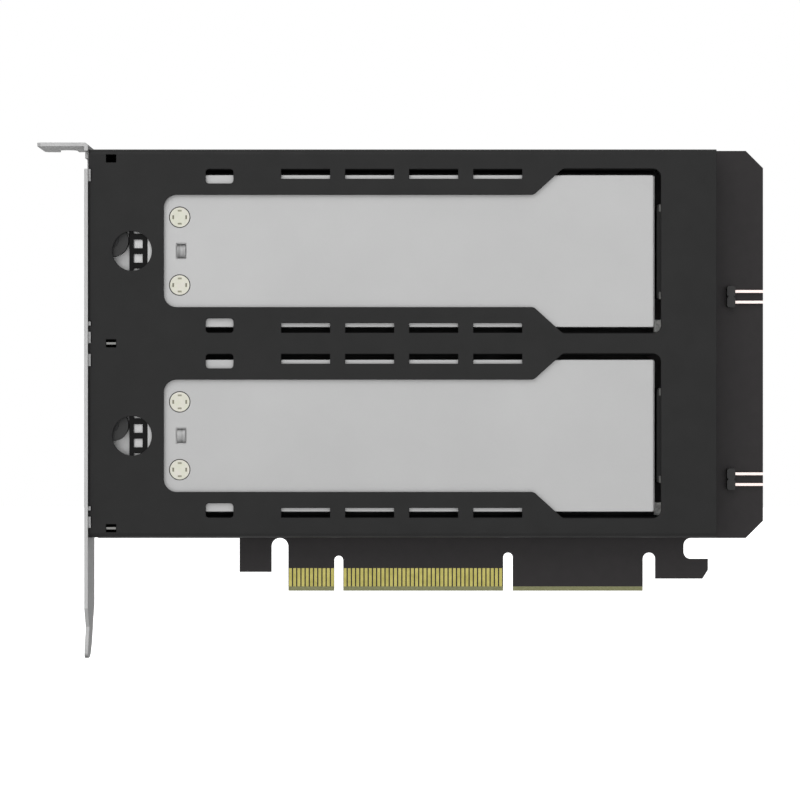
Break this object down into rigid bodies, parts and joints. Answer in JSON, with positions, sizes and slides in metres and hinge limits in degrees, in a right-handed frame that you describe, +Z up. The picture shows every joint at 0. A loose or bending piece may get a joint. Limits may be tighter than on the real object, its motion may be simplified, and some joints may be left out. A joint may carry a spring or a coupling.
{
  "type": "nvme adapter card",
  "caption": "Full-height expansion card whose black folded housing holds drive trays that slide out through windows in the slot bracket.",
  "frame": {"origin": "centre of the key notch at the lower edge of the contacts, in the middle of the board's thickness", "axes": "+X from the slot bracket along the card, +Z up out of the slot, -Y towards the component side"},
  "size_m": [0.1712, 0.0206, 0.1211],
  "materials": {
    "board_laminate": "satin black solder mask",
    "gold_plating": "gold plated",
    "bracket_steel": "nickel plated",
    "black_paint": "fine matte powder coat",
    "black_plastic": "matte",
    "plain_steel": "bright zinc",
    "black_screw": "black zinc",
    "tray_steel": "satin zinc",
    "tray_aluminium": "fine satin",
    "cream_enamel": "satin",
    "brass_spacer": "turned",
    "spring_steel": "plain",
    "pad_silicone": "soft matte",
    "inductor_grey": "moulded ferrite",
    "chip_plastic": "moulded",
    "ceramic": "ceramic"
  },
  "bodies": {
    "card": {"card_board": "board_laminate", "edge_contacts_front": "gold_plating", "edge_contacts_back": "gold_plating", "io_bracket": "bracket_steel", "housing_cover": "black_paint", "upper_guide_rail": "black_plastic", "middle_guide_rail": "black_plastic", "lower_guide_rail": "black_plastic", "locating_tabs": "plain_steel", "rail_screws": "black_screw", "bracket_screws": "black_screw", "power_inductors": "inductor_grey", "bulk_capacitors": "plain_steel", "board_chips": "chip_plastic", "small_capacitors": "ceramic", "upper_drive_socket": "black_plastic", "upper_socket_contacts": "gold_plating", "upper_socket_clips": "plain_steel", "upper_header_base": "black_plastic", "upper_header_pins": "gold_plating", "lower_drive_socket": "black_plastic", "lower_socket_contacts": "gold_plating", "lower_socket_clips": "plain_steel", "lower_header_base": "black_plastic", "lower_header_pins": "gold_plating"},
    "upper_tray": {"upper_tray_floor": "tray_steel", "upper_bezel_screws": "black_screw", "upper_tray_cover": "tray_aluminium", "upper_front_plate": "tray_steel", "upper_cover_screws": "cream_enamel", "upper_spacers": "brass_spacer", "upper_latch_spring": "spring_steel", "upper_tray_bezel": "black_plastic", "upper_lever_pin": "black_screw", "upper_thermal_pad": "pad_silicone", "upper_drive_standoff": "brass_spacer", "upper_drive_screw": "plain_steel"},
    "upper_lever": {"upper_latch_lever": "black_plastic"},
    "lower_tray": {"lower_tray_floor": "tray_steel", "lower_bezel_screws": "black_screw", "lower_tray_cover": "tray_aluminium", "lower_front_plate": "tray_steel", "lower_cover_screws": "cream_enamel", "lower_spacers": "brass_spacer", "lower_latch_spring": "spring_steel", "lower_tray_bezel": "black_plastic", "lower_lever_pin": "black_screw", "lower_thermal_pad": "pad_silicone", "lower_drive_standoff": "brass_spacer", "lower_drive_screw": "plain_steel"},
    "lower_lever": {"lower_latch_lever": "black_plastic"}
  },
  "joints": [
    {"name": "upper_tray_slide", "type": "slide", "parent": "card", "child": "upper_tray", "axis": [-1, 0, 0], "range_m": [0, 0.14]},
    {"name": "upper_lever_hinge", "type": "hinge", "parent": "upper_tray", "child": "upper_lever", "pos_m": [-0.0529, -0.0111, 0.08281], "axis": [0, -1, 0], "range_deg": [0, 60]},
    {"name": "lower_tray_slide", "type": "slide", "parent": "card", "child": "lower_tray", "axis": [-1, 0, 0], "range_m": [0, 0.14]},
    {"name": "lower_lever_hinge", "type": "hinge", "parent": "lower_tray", "child": "lower_lever", "pos_m": [-0.0529, -0.0111, 0.03951], "axis": [0, -1, 0], "range_deg": [0, 60]}
  ]
}
